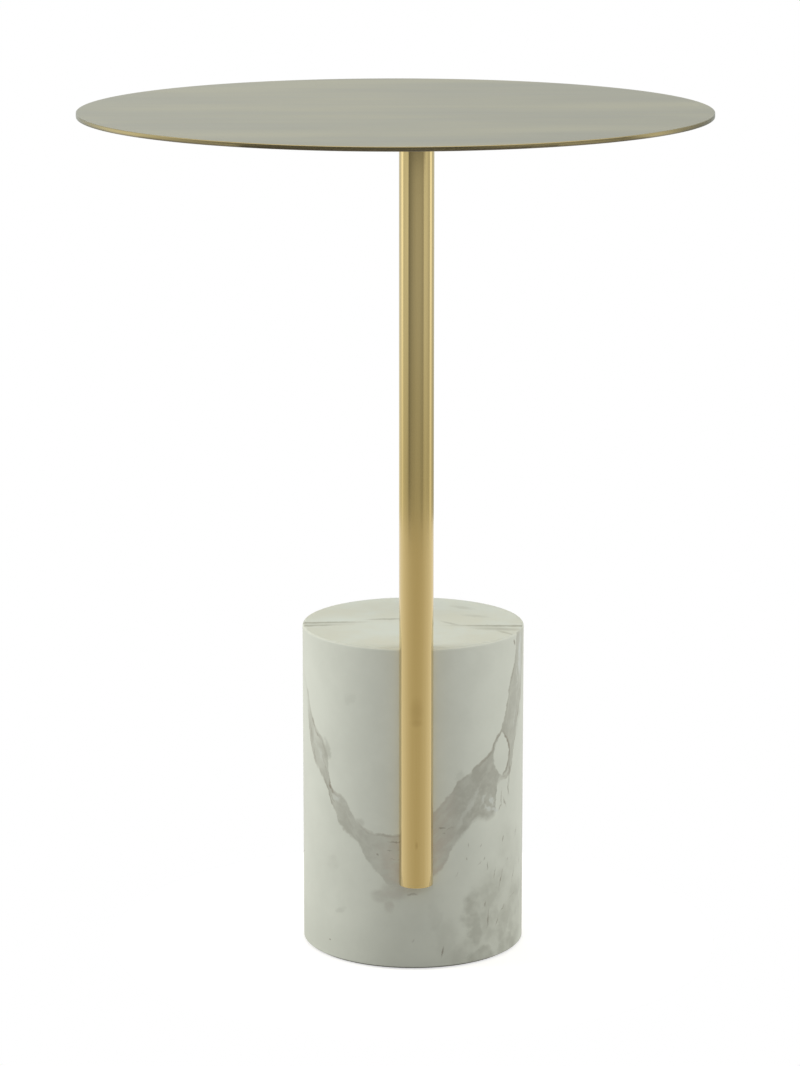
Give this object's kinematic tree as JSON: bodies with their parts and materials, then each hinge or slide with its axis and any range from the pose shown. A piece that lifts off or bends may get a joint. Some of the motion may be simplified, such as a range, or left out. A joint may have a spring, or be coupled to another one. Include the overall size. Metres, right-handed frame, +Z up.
{
  "type": "wine table",
  "caption": "Small drinks table: thin round brass top on a slim pole half set into the side of a heavy white marble drum.",
  "frame": {"origin": "on the floor, on the axis of the marble drum", "axes": "+Z up along the drum's axis; -Y is the front, where the pole stands; +X to the right seen from the front"},
  "size_m": [0.4059, 0.406, 0.55],
  "materials": {
    "brushed_brass": "brushed, satin lacquer",
    "satin_brass": "satin lacquer",
    "zinc_steel": "zinc plated",
    "marble": "honed",
    "felt": "pressed felt"
  },
  "bodies": {
    "root": {"top_disc": "brushed_brass", "top_backing_plate": "satin_brass", "pole_flange": "satin_brass", "flange_screws": "zinc_steel", "pole_tube": "satin_brass", "pole_end_cap": "satin_brass", "pole_core": "zinc_steel", "pole_studs": "zinc_steel", "clamp_bar": "zinc_steel", "stud_washers": "zinc_steel", "stud_nuts": "zinc_steel", "marble_base": "marble", "felt_pad": "felt"}
  },
  "joints": []
}
